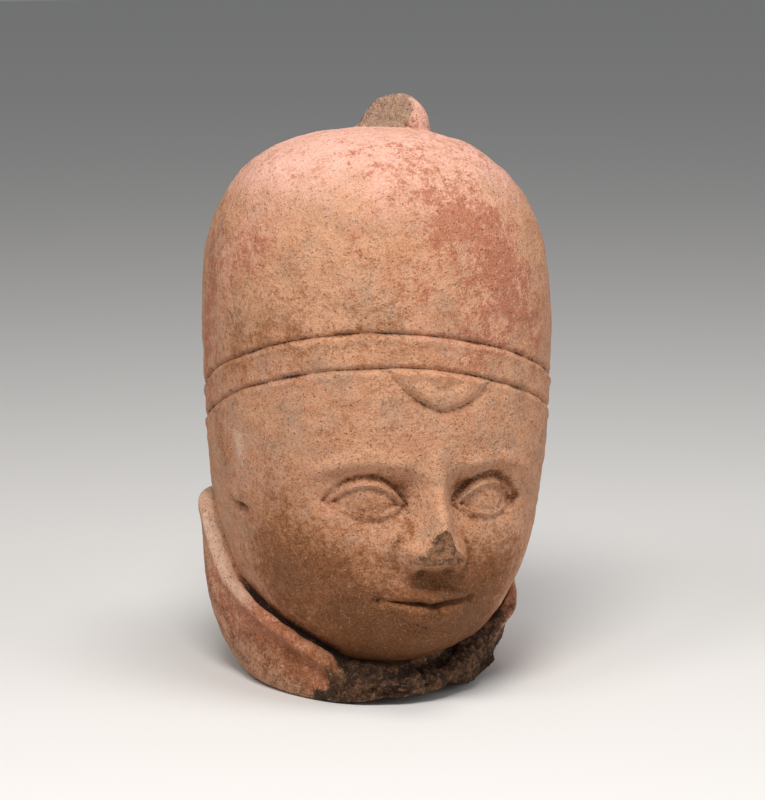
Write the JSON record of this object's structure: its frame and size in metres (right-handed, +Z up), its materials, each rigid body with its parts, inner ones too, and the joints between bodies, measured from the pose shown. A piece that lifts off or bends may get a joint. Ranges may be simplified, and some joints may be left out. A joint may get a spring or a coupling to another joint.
{
  "type": "figurine head",
  "caption": "Fired-clay figurine head in a tall round cap with a knob, an incised band and a high collar, broken off at the neck.",
  "frame": {"origin": "on the ground, under the middle of the head's own box, on the plane of the flat underside", "axes": "+Z up, the face looks along -Y and leans back, +X to the right of someone who faces it"},
  "size_m": [0.1072, 0.1284, 0.1783],
  "materials": {
    "terracotta": "unglazed fired clay, buff to pink, with worn red paint and soil in the grooves"
  },
  "bodies": {
    "root": {"terracotta_head": "terracotta"}
  },
  "joints": []
}
